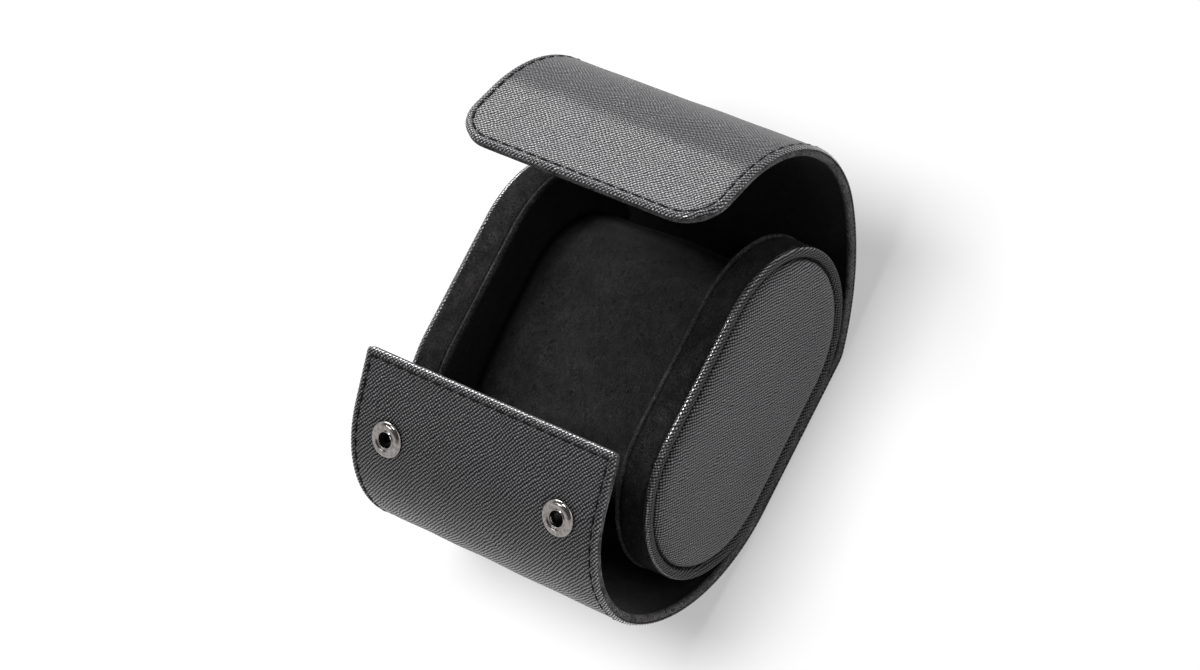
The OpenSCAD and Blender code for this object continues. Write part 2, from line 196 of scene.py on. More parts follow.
def loop_faces(first, second, count, closed):
    """Quads between two rows of points that start at two indices."""
    last = count if closed else count - 1
    return [(first + i, first + (i + 1) % count, second + (i + 1) % count, second + i)
            for i in range(last)]


def tube(path, radius, sides=TUBE_SIDES):
    """Points and faces of a closed tube along a path in millimetres, with a radius for each point."""
    path = np.asarray(path, float)
    ahead = np.gradient(path, axis=0)
    ahead /= np.linalg.norm(ahead, axis=1)[:, None]
    helper = np.array([0.37, 0.21, 0.9])
    side = np.cross(ahead, helper)
    side /= np.linalg.norm(side, axis=1)[:, None]
    up = np.cross(side, ahead)
    a = np.arange(sides) * 2 * math.pi / sides
    rings = path[:, None] + radius[:, None, None] * (np.cos(a)[None, :, None] * side[:, None]
                                                     + np.sin(a)[None, :, None] * up[:, None])
    faces = []
    for i in range(len(path) - 1):
        faces += loop_faces(i * sides, (i + 1) * sides, sides, True)
    faces.append(tuple(range(sides)))
    faces.append(tuple(range((len(path) - 1) * sides, len(path) * sides)))
    return rings.reshape(-1, 3), faces


def lengths_along(path):
    """The length from a path's first point to each of its points."""
    return np.concatenate([[0], np.cumsum(np.linalg.norm(np.diff(path, axis=0), axis=1))])


class Thread:
    """Stitches of one seam, gathered into one mesh."""

    def __init__(self):
        self.points, self.faces, self.flat = [], [], []

    def add(self, path, radius, along, number):
        """A stitch along a path in millimetres. The thread's twist follows the lengths along the seam."""
        points, faces = tube(path, radius)
        points[:, 2] = np.maximum(points[:, 2], 0.0)
        self.faces += [[i + len(self.points) for i in face] for face in faces]
        self.flat += list(zip(np.repeat(along, TUBE_SIDES), np.tile(np.arange(TUBE_SIDES), len(along)),
                              np.full(len(points), number)))
        self.points += list(points)

    def build(self, name):
        return make_mesh(name, np.array(self.points) * MM, self.faces, materials["thread"],
                         np.array(self.flat, float))


# ---- Panels of the wrap ----

CORNER_STEPS = 12        # mesh steps round a corner
ACROSS_STEPS = 36        # and across the wrap
ROW = 1.3                # distance between rows of the mesh, in millimetres
HOLE_WINDOW = 8.5        # half the square round a hole whose cells make way for rings
HOLE_RINGS = (0.2, 0.4, 0.55, 0.68, 0.8, 0.9, 1.0)     # each ring's share of the way to the hole


def panel_ring(length, half_w, corner_r, e):
    """Points (s, t) of the panel's outline drawn in by e, from the split round the end and back."""
    r = max(corner_r - e, 0.15)
    rows = int(round(length / ROW))
    side = np.linspace(0, length - e - r, rows)
    a = np.linspace(0, math.pi / 2, CORNER_STEPS + 1)[1:]
    corner_s = length - e - r + r * np.sin(a)
    corner_t = half_w - e - r + r * np.cos(a)
    left_s = np.concatenate([side, corner_s])
    left_t = -np.concatenate([np.full(rows, half_w - e), corner_t])
    end_t = np.linspace(left_t[-1], -left_t[-1], ACROSS_STEPS + 1)[1:-1]
    return (np.concatenate([left_s, np.full(len(end_t), length - e), left_s[::-1]]),
            np.concatenate([left_t, end_t, -left_t[::-1]]), rows + CORNER_STEPS)


def unrolled(profile):
    """How far in from the edge each point of a rim's profile lies when the sheet is laid flat."""
    steps = np.hypot(*np.diff(np.array(profile), axis=0).T)
    return profile[0][0] - np.concatenate([[0], np.cumsum(steps)])


class Panel:
    """A closed shell in the wrap's flat pattern: an upper grid, a rim profile and a lower grid."""

    def __init__(self, length, half_w, corner_r, profile, holes=(), hole_r=0.0, dent=0.0):
        self.points, self.faces = [], []
        self.length, self.half_w = length, half_w
        rings = []
        for (e, d), reach in zip(profile, unrolled(profile)):
            s, t, self.left = panel_ring(length, half_w, corner_r, e)
            rings.append(self.add(s, t, d, e, panel_ring(length, half_w, corner_r, reach)[:2]))
        self.ring_size = len(rings[0])
        for near, far in zip(rings, rings[1:]):
            self.faces += loop_faces(near[0], far[0], self.ring_size, False)
        upper, upper_holes = self.grid(rings[0], profile[0], holes, hole_r, dent)
        lower, lower_holes = self.grid(rings[-1], profile[-1], holes, hole_r, 0.0)
        for near, far in zip(upper_holes, lower_holes):
            self.faces += [(near[i], near[(i + 1) % len(near)], far[(i + 1) % len(far)], far[i])
                           for i in range(len(near))]
        last = self.ring_size - 1
        self.faces.append([ring[0] for ring in rings] + list(lower[0][1:-1])
                          + [ring[last] for ring in rings[::-1]] + list(upper[0][1:-1])[::-1])

    def add(self, s, t, d, e, grain=None):
        """Adds points and returns their numbers. grain is their place in the leather's own pattern."""
        grain_s, grain_t = (s, t) if grain is None else grain
        columns = np.broadcast_arrays(s, t, d, e, grain_s, grain_t)
        first = len(self.points)
        self.points += list(zip(*(column.ravel() for column in columns)))
        return np.arange(first, len(self.points))

    def grid(self, ring, edge, holes, hole_r, dent):
        """Fills the inside of a ring with rows across, and cuts a round hole at each place in holes."""
        e, d = edge
        rows = []
        for j in range(self.left):
            ends = ring[j], ring[self.ring_size - 1 - j]
            if j == self.left - 1:
                rows.append(ring[j:self.ring_size - j])
                continue
            s0, t0 = self.points[ends[0]][:2]
            s1, t1 = self.points[ends[1]][:2]
            u = np.linspace(0, 1, ACROSS_STEPS + 1)[1:-1]
            inner = self.add(s0 + (s1 - s0) * u, t0 + (t1 - t0) * u, d, INSIDE)
            rows.append(np.concatenate([[ends[0]], inner, [ends[1]]]))
        rows = np.array(rows)
        taken = np.zeros((len(rows) - 1, ACROSS_STEPS), bool)
        rims = [self.cut_hole(rows, taken, place, hole_r, d, dent) for place in holes]
        for j in range(len(rows) - 1):
            for k in range(ACROSS_STEPS):
                if not taken[j, k]:
                    self.faces.append((rows[j, k], rows[j, k + 1], rows[j + 1, k + 1], rows[j + 1, k]))
        return rows, rims

    def cut_hole(self, rows, taken, place, hole_r, d, dent):
        """Replaces the cells round a place with rings that lead to a circle, pressed in by dent."""
        flat = np.array([self.points[i][:2] for i in rows.ravel()]).reshape(rows.shape + (2,))
        near = np.abs(flat - np.array(place)).max(axis=-1) < HOLE_WINDOW
        js, ks = np.where(near)
        j0, j1, k0, k1 = js.min(), js.max(), ks.min(), ks.max()
        taken[j0:j1, k0:k1] = True
        border = ([rows[j0, k] for k in range(k0, k1)] + [rows[j, k1] for j in range(j0, j1)]
                  + [rows[j1, k] for k in range(k1, k0, -1)] + [rows[j, k0] for j in range(j1, j0, -1)])
        outer = np.array([self.points[i][:2] for i in border])
        away = outer - np.array(place)
        circle = np.array(place) + hole_r * away / np.linalg.norm(away, axis=1)[:, None]
        previous = np.array(border)
        for u in HOLE_RINGS:
            at = outer + (circle - outer) * u
            reach = np.linalg.norm(at - np.array(place), axis=1)
            sink = dent / (1 + np.exp((reach - DENT_R) / DENT_FADE))
            ring = self.add(at[:, 0], at[:, 1], d + sink, INSIDE)
            count = len(ring)
            self.faces += [(previous[i], previous[(i + 1) % count], ring[(i + 1) % count], ring[i])
                           for i in range(count)]
            previous = ring
        return list(previous)

    def build(self, name, side, material, waves=NO_WAVES, seed=0):
        """The panel as a mesh on the wrap's curve, uneven by waves on the surface that comes first."""
        s, t, d, e, grain_s, grain_t = np.array(self.points).T
        height, size = waves
        inside = fade_in(np.minimum(self.half_w - np.abs(t), self.length - s), 5, 3)
        upper = np.abs(d - d[0]) < 0.01
        d = d + height * inside * upper * waviness(np.stack([s, t], 1), seed, size)
        sign = 1 if side is TOP_SIDE else -1
        flat = np.stack([grain_t, sign * grain_s, np.zeros(len(s))], 1)
        return make_mesh(name, on_wrap(side, s, t, d), self.faces, material, flat, e)


# Profiles round the sheets' edges: (distance in from the edge, depth under the leather's surface)
LEATHER_PROFILE = [(8.0, 0.0), (6.4, 0.0), (4.8, 0.0), (3.7, 0.02), (3.2, 0.06), (2.9, 0.17),
                   (2.7, 0.34), (2.5, 0.13), (2.25, -0.04), (1.95, -0.13), (1.6, -0.15), (1.25, -0.09),
                   (0.9, 0.06), (0.55, 0.24), (0.26, 0.46), (0.07, 0.68), (0.0, 0.8), (0.05, 0.9),
                   (0.2, 0.96), (0.5, 0.98), (1.5, 0.98), (1.55, 0.9), (1.6, 0.84), (2.6, 0.8), (5.0, 0.8),
                   (8.0, 0.8)]
LINING_PROFILE = [(7.0, 3.2), (5.0, 3.22), (3.2, 3.2), (2.8, 3.12), (2.45, 3.02), (2.2, 3.2), (1.9, 3.42),
                  (1.5, 3.56), (0.9, 3.5), (0.4, 3.3), (0.1, 2.95), (0.0, 2.5), (0.0, 1.6), (0.06, 1.3),
                  (0.25, 1.1), (0.6, 1.03), (1.3, 1.03), (1.45, 1.3), (1.5, 1.63), (4.0, 1.65), (7.0, 1.65)]
BOARD_PROFILE = [(4.0, 0.82), (0.4, 0.82), (0.08, 0.9), (0.0, 1.05), (0.0, 1.35), (0.08, 1.5), (0.4, 1.58),
                 (4.0, 1.58)]


def wrap_layers(prefix, side, corner_r, holes, seed):
    """The leather, board, lining and stitches of one side of the wrap."""
    length, half_w = side_length(side), WRAP_W / 2
    leather = Panel(length, half_w, corner_r, LEATHER_PROFILE, holes, HOLE_R, DENT)
    lining = Panel(length - LINING_INSET, half_w - LINING_INSET, max(corner_r - LINING_INSET, 1.2),
                   LINING_PROFILE, holes, LINING_HOLE_R)
    board = Panel(length - BOARD_INSET, half_w - BOARD_INSET, max(corner_r - BOARD_INSET, 0.6),
                  BOARD_PROFILE, holes, HOLE_R)
    return {
        "leather": leather.build(prefix + "_outer_leather", side, materials["leather"],
                                 LEATHER_WAVES, seed),
        "lining": lining.build(prefix + "_suede_lining", side, materials["suede_wrap"]),
        "board": board.build(prefix + "_stiffener", side, materials["board"]),
        "stitches": wrap_stitches(prefix + "_stitches", side, corner_r),
    }


# The runs of a stitch on the leather and on the lining: shift along the seam as a share of the pitch,
# free length at both ends, depth of the ends, how much deeper the middle lies, and thickness
RUNS = ((0.0, 0.6, 0.95, -0.93, 1.0), (0.5, 0.9, 2.5, 0.62, 0.8))


def wrap_stitches(name, side, corner_r):
    """Thread along the edge: a short run on the leather for each stitch, and its return inside."""
    s, t, _ = panel_ring(side_length(side), WRAP_W / 2, corner_r, STITCH_E)
    along = lengths_along(np.stack([s, t], 1))
    count = int(along[-1] / STITCH_PITCH)
    pitch = along[-1] / count
    rng = np.random.default_rng(11)
    thread = Thread()
    u = np.linspace(0, 1, 9)
    rise = np.sin(math.pi * u) ** 0.35
    for k in range(count):
        for shift, free, depth, deeper, thickness in RUNS:
            start = (k + shift) * pitch + free
            stop = (k + 1 + shift) * pitch - free
            if stop > along[-1] - 0.5:
                continue
            a = start + (stop - start) * u
            aside = rng.uniform(-STITCH_JITTER, STITCH_JITTER) + STITCH_SLANT * (u - 0.5)
            path = on_wrap(side, np.interp(a, along, s) + aside, np.interp(a, along, t) + aside,
                           depth + deeper * rise) / MM
            thread.add(path, THREAD_R * (0.72 + 0.28 * rise) * thickness, a, k)
    return thread.build(name)


# ---- End caps ----

ARC_STEPS = 40           # mesh steps round each end of the oval
STRAIGHT_STEPS = 24      # and along each straight side

# Where the leather over a cap's piped rim gets painted shade and less gloss, in from the outline, and how
# much of it
PIPING_E, PIPING_SHADE = (0.5, 1.0, 3.4, 3.9), (0.0, 0.6, 0.6, 0.0)
SEAM_HALF_W = 0.5


def oval_loop(e):
    """The cap's outline (y, z about its middle) drawn in by e, as a closed loop."""
    r = CAP_HALF_H - e
    half = CAP_HALF_L - CAP_HALF_H
    a = np.linspace(-math.pi / 2, math.pi / 2, ARC_STEPS + 1)
    right = np.stack([half + r * np.cos(a), r * np.sin(a)], 1)
    u = np.linspace(half, -half, STRAIGHT_STEPS + 1)[1:-1]
    top = np.stack([u, np.full(len(u), r)], 1)
    return np.concatenate([right, top, -right, -top])


def painted_shade_at(e):
    """How much painted shade darkens and dulls the grain at a distance from the outline: over the piping
    and in the seam.
    """
    return max(np.interp(e, PIPING_E, PIPING_SHADE), 1 - (abs(e - CAP_STITCH_E) / SEAM_HALF_W) ** 2)


def oval_shell(name, side, profile, material, ends=True, waves=NO_WAVES, seed=0, narrow=1.0):
    """A body of oval loops along a profile of (distance in from the outline, distance outward).
    With ends the first and the last loop are closed, and without them they are joined.
    The edge that the material makes glossier and paints lighter, as a painted highlight, is narrow times
    narrower."""
    height, size = waves
    loops, flats, edges, painted_shade = [], [], [], []
    for (e, x), reach in zip(profile, unrolled(profile)):
        yz, grain = oval_loop(e), oval_loop(reach)
        out = x + height * waviness(yz, seed, size) * fade_in(e, 5, 6)
        loops.append(np.stack([side * out, yz[:, 0], yz[:, 1] + CAP_Z], 1))
        flats.append(np.stack([side * grain[:, 0], grain[:, 1], np.full(len(yz), x)], 1))
        edges += [narrow * e] * len(yz)
        painted_shade += [painted_shade_at(e)] * len(yz)
    count = len(loops[0])
    faces = []
    for i in range(len(loops) - 1):
        faces += loop_faces(i * count, (i + 1) * count, count, True)
    last = (len(loops) - 1) * count
    if ends:
        faces += slot_faces(0, count) + slot_faces(last, count)
    else:
        faces += loop_faces(last, 0, count, True)
    return make_mesh(name, np.concatenate(loops) * MM, faces, material, np.concatenate(flats),
                     edges, painted_shade)


def slot_faces(first, count):
    """Closes a narrow oval loop with a ladder of faces between its two long sides."""
    half = count // 2
    order = [(ARC_STEPS // 2 + i) % count for i in range(half + 1)]
    other = [(ARC_STEPS // 2 - i) % count for i in range(half + 1)]
    faces = []
    for i in range(half):
        corners = [first + order[i], first + order[i + 1], first + other[i + 1], first + other[i]]
        unique = list(dict.fromkeys(corners))
        if len(unique) > 2:
            faces.append(tuple(unique))
    return faces


SLOT_E = 36.6            # the innermost loop, a slot that slot_faces closes

# Profiles of the caps' layers: (distance in from the outline, distance outward from the case's middle)
FACE_OUTER = [(0.35, 49.95), (0.04, 50.05), (-0.06, 50.32), (-0.05, 50.72), (0.04, 51.12), (0.22, 51.48),
              (0.54, 51.78), (1.0, 51.95), (1.6, 52.0), (2.3, 51.96), (2.95, 51.8), (3.42, 51.52),
              (3.66, 51.15), (3.8, 50.7), (3.9, 50.22), (4.44, CAP_GROOVE_X), (4.55, 50.75), (4.74, 51.25),
              (5.1, 51.72), (5.7, 52.12), (6.6, 52.45), (7.9, 52.74), (9.8, 52.96), (12.8, 53.12),
              (17.0, 53.22), (23.0, 53.28), (30.0, 53.3), (SLOT_E, 53.3)]
FACE_INNER = [(SLOT_E, 52.2), (16.0, 52.1), (8.0, 51.6), (4.2, 49.95), (3.0, 50.6), (1.6, 50.7),
              (1.0, 50.4), (0.85, 49.95)]
PAD_PROFILE = [(SLOT_E, 49.2), (3.0, 49.2), (1.4, 49.25), (1.05, 49.4), (1.1, 49.9), (1.6, 50.5),
               (2.8, 50.45), (4.2, 49.85), (8.2, 51.45), (16.0, 51.95), (SLOT_E, 52.05)]
BAND_PROFILE = [(0.75, 40.3), (0.42, 40.36), (0.16, 40.6), (0.04, 41.0), (-0.03, 43.0), (0.0, 45.5),
                (0.02, 48.6), (0.12, 50.0), (0.75, 50.05), (0.8, 48.5), (0.8, 43.0), (0.78, 40.4)]
DISC_PROFILE = [(SLOT_E, 38.32), (20.0, 38.33), (8.0, 38.34), (3.5, 38.35), (2.3, 38.37), (1.4, 38.42),
                (0.6, 38.54), (0.0, 38.76), (-0.4, 39.06), (-0.55, 39.38), (-0.5, 39.66), (-0.3, 39.9),
                (0.0, 40.08), (0.6, 40.18), (6.0, 40.19), (SLOT_E, 40.19)]


def cap(prefix, side, seed):
    """One end cap: leather face, foam pad, suede band, inner disc and stitches."""
    face = oval_shell(prefix + "_leather_face", side, FACE_OUTER[::-1] + FACE_INNER[::-1],
                      materials["leather"], waves=FACE_WAVES, seed=seed, narrow=2.2)
    pad = oval_shell(prefix + "_foam_pad", side, PAD_PROFILE, materials["foam"])
    band = oval_shell(prefix + "_suede_band", side, BAND_PROFILE, materials["suede"], ends=False)
    disc = oval_shell(prefix + "_inner_disc", side, DISC_PROFILE, materials["suede_disc"])
    for piece, node, slot in ((face, "face", "leather"), (pad, "pad", "foam"), (band, "band", "suede"),
                              (disc, "disc", "suede")):
        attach(piece, "root")
        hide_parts(prefix + "_" + node)
    stitches = cap_stitches(prefix + "_stitches", side)
    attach(stitches, "root")


def cap_stitches(name, side):
    """Thread round a cap's face, in its sunk seam."""
    loop = oval_loop(CAP_STITCH_E)
    loop = np.concatenate([loop, loop[:1]])
    along = lengths_along(loop)
    count = int(along[-1] / CAP_STITCH_PITCH)
    thread = Thread()
    u = np.linspace(0, 1, 7)
    rise = np.sin(math.pi * u) ** 0.4
    for k in range(count):
        a = (k + CAP_STITCH_GAP + (1 - 2 * CAP_STITCH_GAP) * u) * along[-1] / count
        y, z = np.interp(a, along, loop[:, 0]), np.interp(a, along, loop[:, 1])
        path = np.stack([side * (CAP_GROOVE_X + CAP_STITCH_RISE * rise), y, z + CAP_Z], 1)
        thread.add(path, CAP_THREAD_R * (0.7 + 0.3 * rise), a, k)
    return thread.build(name)


# ---- Cushion ----

CUSHION_AROUND, CUSHION_STATIONS = 132, 46     # mesh steps round a ring, and rings
STATION_CROWDING = 0.42  # below 1 the rings crowd towards the ends
CROWN = 0.8              # how much the cushion's surface falls towards the ends
END_DRAW = 1.6           # and how much more it is drawn in there,
END_FROM = 0.84          # from this share of the half width on
END_FACE = 0.9           # how much of its size the ring at the very end keeps
CORNER_SHARPNESS = 6     # of the oval's straight sides where they meet its round ones
COVER_T = 1.3            # how far the foam stays inside the cover's surface


def cushion(name, shrink, material, waves):
    """A crowned oval pad whose ends are drawn in, as rings round the case's X direction."""
    around, stations = CUSHION_AROUND, CUSHION_STATIONS
    height, size = waves
    a = np.linspace(0, 2 * math.pi, around, endpoint=False)
    half_w = CUSHION_HALF_W - shrink
    half_flat = CUSHION_HALF_L - CUSHION_HALF_H
    under = np.clip(-np.sin(a) * 3 - 2, 0, 1)
    rings, edges = [], []
    for i in range(stations + 1):
        q = math.pi * (i / stations - 0.5)
        out = abs(math.sin(q)) ** STATION_CROWDING
        x = np.full(around, math.copysign(out, q) * half_w)
        draw = CROWN * out ** 4 + END_DRAW * max(0.0, (out - END_FROM) / (1 - END_FROM)) ** 3
        r = CUSHION_HALF_H - shrink - draw
        if i in (0, stations):
            r *= END_FACE
        y = half_flat * np.tanh(CORNER_SHARPNESS * np.cos(a)) + r * np.cos(a)
        z = r * np.sin(a)
        bump = height * waviness(np.stack([x, y, z], 1), 5, size)
        scale = 1 + bump / r * (1 - under)
        rings.append(np.stack([x, CUSHION_Y + y * scale, CUSHION_Z + z * scale], 1))
        # Painted shade: the pile is painted darker near both ends, and towards the closing flap as well
        edges.append(np.minimum(half_w - np.abs(x), 3 + 30 * np.clip(a - 0.5, 0, 2)))
    faces = []
    for i in range(stations):
        faces += loop_faces(i * around, (i + 1) * around, around, True)
    faces += [tuple(range(around)), tuple(range(stations * around, (stations + 1) * around))]
    points = np.concatenate(rings)
    return make_mesh(name, points * MM, faces, material, points, np.concatenate(edges))


# ---- Press studs ----

SOCKET_STEPS = 72
# Profile of a socket ring: (radius, height over the leather)
SOCKET_PROFILE = [(2.75, -1.0), (3.4, -1.0), (3.4, -0.3), (5.9, -0.35), (6.22, -0.2), (6.3, 0.05),
                  (6.26, 0.32), (6.08, 0.6), (5.76, 0.86), (5.3, 1.08), (4.75, 1.23), (4.2, 1.26),
                  (3.78, 1.14), (3.52, 0.94), (3.36, 0.84), (3.24, 0.92), (3.12, 1.06), (2.98, 1.12),
                  (2.84, 1.08), (2.76, 0.94), (2.74, 0.5), (2.74, 0.0)]


def sockets():
    """The two socket rings, turned round their own axes at the front flap's surface."""
    s = side_length(FRONT_SIDE) - SOCKET_INSET
    _, _, heading = wrap_places(FRONT_SIDE, np.array(s))
    outward = np.array([0.0, -math.sin(heading), -math.cos(heading)])
    across = np.array([1.0, 0.0, 0.0])
    aside = np.cross(outward, across)
    a = np.arange(SOCKET_STEPS) * 2 * math.pi / SOCKET_STEPS
    turn = np.cos(a)[:, None] * across + np.sin(a)[:, None] * aside
    points, faces = [], []
    for x in (-STUD_X, STUD_X):
        centre = on_wrap(FRONT_SIDE, s, x, 0.0) / MM
        base = len(points)
        for r, h in SOCKET_PROFILE:
            points += list(centre + h * outward + r * turn)
        rows = len(SOCKET_PROFILE)
        for i in range(rows):
            faces += loop_faces(base + i * SOCKET_STEPS, base + (i + 1) % rows * SOCKET_STEPS,
                                SOCKET_STEPS, True)
    piece = make_mesh("socket_rings", np.array(points) * MM, faces, materials["nickel"], points)
    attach(piece, "front_flap")
    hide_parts("snap_sockets")


# ---- Materials ----

class Nodes:
    """Short calls for building one material's nodes."""

    def __init__(self, name, settings=()):
        self.material = bpy.data.materials.new(name)
        self.material.use_nodes = True
        self.tree = self.material.node_tree
        self.shader = self.tree.nodes["Principled BSDF"]
        for socket, value in dict(settings).items():
            self.shader.inputs[socket].default_value = value

    def node(self, kind, inputs=(), **settings):
        made = self.tree.nodes.new(kind)
        for name, value in settings.items():
            setattr(made, name, value)
        for socket, value in dict(inputs).items():
            if isinstance(value, bpy.types.NodeSocket):
                self.tree.links.new(value, made.inputs[socket])
            else:
                made.inputs[socket].default_value = value
        return made

    def math(self, operation, a, b=0.0, c=0.0):
        return self.node("ShaderNodeMath", {0: a, 1: b, 2: c}, operation=operation).outputs[0]

    def flat(self):
        return self.node("ShaderNodeAttribute", attribute_name="flat").outputs["Vector"]

    def rim(self):
        """The distance from the edge and the seam's painted shade, as make_mesh stored them."""
        stored = self.node("ShaderNodeAttribute", attribute_name="rim").outputs["Vector"]
        parts = self.node("ShaderNodeSeparateXYZ", {0: stored})
        return parts.outputs["X"], parts.outputs["Y"]

    def scaled(self, vector, by):
        return self.node("ShaderNodeVectorMath", {0: vector, 1: by}, operation="MULTIPLY").outputs[0]

    def noise(self, vector, scale, detail=2.0, roughness=0.5, output="Fac"):
        made = self.node("ShaderNodeTexNoise", {"Vector": vector, "Scale": scale, "Detail": detail,
                                                "Roughness": roughness})
        return made.outputs[output]

    def remap(self, value, low, high, to_low, to_high):
        return self.node("ShaderNodeMapRange", {"Value": value, "From Min": low, "From Max": high,
                                                "To Min": to_low, "To Max": to_high}).outputs["Result"]

    def dot(self, vector, direction):
        made = self.node("ShaderNodeVectorMath", {0: vector, 1: direction}, operation="DOT_PRODUCT")
        return made.outputs["Value"]

    def shifted(self, vector, by, scale):
        """vector moved by scale times (by - 0.5)."""
        centred = self.node("ShaderNodeVectorMath", {0: by, 1: (0.5,) * 3}, operation="SUBTRACT")
        return self.node("ShaderNodeVectorMath", {0: centred.outputs[0], 1: (scale,) * 3, 2: vector},
                         operation="MULTIPLY_ADD").outputs[0]

    def mix(self, factor, a, b, blend="MIX"):
        made = self.node("ShaderNodeMix", data_type="RGBA", blend_type=blend)
        for index, value in ((0, factor), (6, a), (7, b)):
            if isinstance(value, bpy.types.NodeSocket):
                self.tree.links.new(value, made.inputs[index])
            else:
                made.inputs[index].default_value = value
        return made.outputs[2]

    def to_shader(self, socket, value):
        self.tree.links.new(value, self.shader.inputs[socket])

    def bump(self, height, distance, strength=1.0):
        made = self.node("ShaderNodeBump", {"Height": height, "Distance": distance, "Strength": strength})
        self.to_shader("Normal", made.outputs[0])


GRAIN_PITCH = 1.04       # between the rows of the leather's embossing, in millimetres
GRAIN_ANGLES = (41.5, 130.0)     # of its two sets of grooves, from the case's X direction
GRAIN_DRIFT = ((0.07, 1.6), (0.42, 0.9))       # how it wanders: scale of the noise, reach in millimetres
LEATHER_COLOUR = (0.035, 0.034, 0.038, 1.0)
# Painted highlight: the edge is painted this lighter grey for the light on the leather's rolled crest
EDGE_HIGHLIGHT_COLOUR = (0.055, 0.054, 0.06, 1.0)
GLOSSY_EDGE_AND_HIGHLIGHT_E = (0.5, 1.5)      # the glossier edge, painted lighter as a highlight, fades out between these distances
LINT_COLOUR = (0.2, 0.16, 0.13, 1.0)
# Black thread, painted darker still as painted shade on the sunk stitches
BLACK_THREAD_AND_SHADE_COLOURS = ((0.002, 0.002, 0.0025, 1.0), (0.009, 0.009, 0.01, 1.0))


def pile_colour(level):
    """The suede's near-black, a little towards purple."""
    return (1.03 * level, 0.98 * level, 1.01 * level, 1.0)


def grooves(n, place, degrees):
    """Waves between 0 and 1 across one set of the leather's grooves."""
    direction = (math.cos(math.radians(degrees)), math.sin(math.radians(degrees)), 0.0)
    phase = n.math("MULTIPLY", n.dot(place, direction), 2 * math.pi / GRAIN_PITCH)
    return n.math("MULTIPLY_ADD", n.math("COSINE", phase), 0.5, 0.5)


def leather_material(name="cross_grain_leather"):
    """Cross-grain embossing: two crossing sets of shallow grooves leave rows of small raised dashes."""
    n = Nodes(name)
    flat = place = n.flat()
    for scale, reach in GRAIN_DRIFT:
        place = n.shifted(place, n.noise(flat, scale, 1.0, 0.5, "Color"), reach)
    ridge, dash = (grooves(n, place, degrees) for degrees in GRAIN_ANGLES)
    lattice = n.math("MULTIPLY", n.math("POWER", ridge, 1.4),
                     n.math("MULTIPLY_ADD", n.math("POWER", dash, 1.2), 0.75, 0.25))
    grit = n.noise(flat, 3.1, 3.0, 0.6)
    patches = n.noise(flat, 0.06, 2.0)
    edge, seam = n.rim()
    # Painted highlight near the edge, where the leather is also glossier
    glossy_edge_and_highlight = n.remap(edge, *GLOSSY_EDGE_AND_HIGHLIGHT_E, 1.0, 0.0)
    dots = n.math("MULTIPLY", lattice, n.remap(grit, 0.3, 0.7, 0.5, 1.5))
    # Painted shade: in the caps' seam and over their piping the dots fade, so the colour darkens and the
    # gloss dulls
    dots = n.math("MULTIPLY", dots, n.math("SUBTRACT", 1.0, seam))
    # Painted shade and highlight: the grooves are painted dark and the raised dots light, far beyond the
    # leather's own tone
    tone = n.math("MULTIPLY", n.remap(patches, 0.3, 0.7, 0.88, 1.12),
                  n.math("MULTIPLY_ADD", dots, 3.5, 0.14))
    colour = n.mix(glossy_edge_and_highlight, LEATHER_COLOUR, EDGE_HIGHLIGHT_COLOUR)
    n.to_shader("Base Color", n.mix(1.0, colour, tone, "MULTIPLY"))
    n.to_shader("Specular IOR Level", n.math("MULTIPLY_ADD", dots, 1.6, 0.06))
    n.to_shader("Roughness", n.math("MULTIPLY_ADD", glossy_edge_and_highlight, -0.2, n.remap(lattice, 0.0, 1.0, 0.56, 0.34)))
    n.to_shader("Coat Roughness", n.remap(glossy_edge_and_highlight, 0.0, 1.0, 0.24, 0.15))
    n.to_shader("Coat Weight", n.math("MULTIPLY", dots, n.remap(glossy_edge_and_highlight, 0.0, 1.0, 0.9, 4.0)))
    height = n.math("MULTIPLY_ADD", grit, 0.25, lattice)
    n.bump(n.math("MULTIPLY", height, n.remap(glossy_edge_and_highlight, 0.0, 1.0, 1.0, 0.5)), 0.0003)
    return n.material


def suede_material(name, level, edge_level, sheen, edge_width=1.8):
    """Short-napped microfibre: brushed patches, combed fibres and a little lint.
    Its pile has another level within the edge's width, in millimetres, and no sheen at the edge."""
    n = Nodes(name, {"Roughness": 0.95, "Specular IOR Level": 0.1, "Sheen Roughness": 0.45})
    flat = n.flat()
    combed = n.shifted(flat, n.noise(flat, 0.09, 2.0, 0.5, "Color"), 12.0)
    patches = n.noise(combed, 0.11, 3.0, 0.6)
    fibres = n.node("ShaderNodeTexNoise", {"Vector": n.scaled(combed, (1.5, 0.4, 0.9)), "Scale": 1.3,
                                           "Detail": 5.0, "Roughness": 0.74,
                                           "Distortion": 2.6}).outputs["Fac"]
    tone = n.math("MULTIPLY", n.remap(patches, 0.3, 0.7, 0.6, 1.4), n.remap(fibres, 0.42, 0.62, 0.0, 3.1))
    edge, _ = n.rim()
    inside = n.remap(edge, 0.2 * edge_width, edge_width, 0.0, 1.0)
    pile = n.mix(inside, pile_colour(edge_level), pile_colour(level))
    n.to_shader("Sheen Weight", n.math("MULTIPLY", inside, sheen))
    cells = n.node("ShaderNodeTexVoronoi", {"Vector": flat, "Scale": 0.42, "Randomness": 1.0})
    speck = n.remap(cells.outputs["Distance"], 0.05, 0.09, 1.0, 0.0)
    draw = n.node("ShaderNodeSeparateColor", {0: cells.outputs["Color"]}).outputs[0]
    lint = n.math("MULTIPLY", speck, n.math("GREATER_THAN", draw, 0.8))
    base = n.mix(n.math("MULTIPLY", lint, 0.6), n.mix(1.0, pile, tone, "MULTIPLY"), LINT_COLOUR)
    n.to_shader("Base Color", base)
    n.bump(n.math("MULTIPLY_ADD", lint, 0.4, fibres), 0.0008, 0.9)
    return n.material


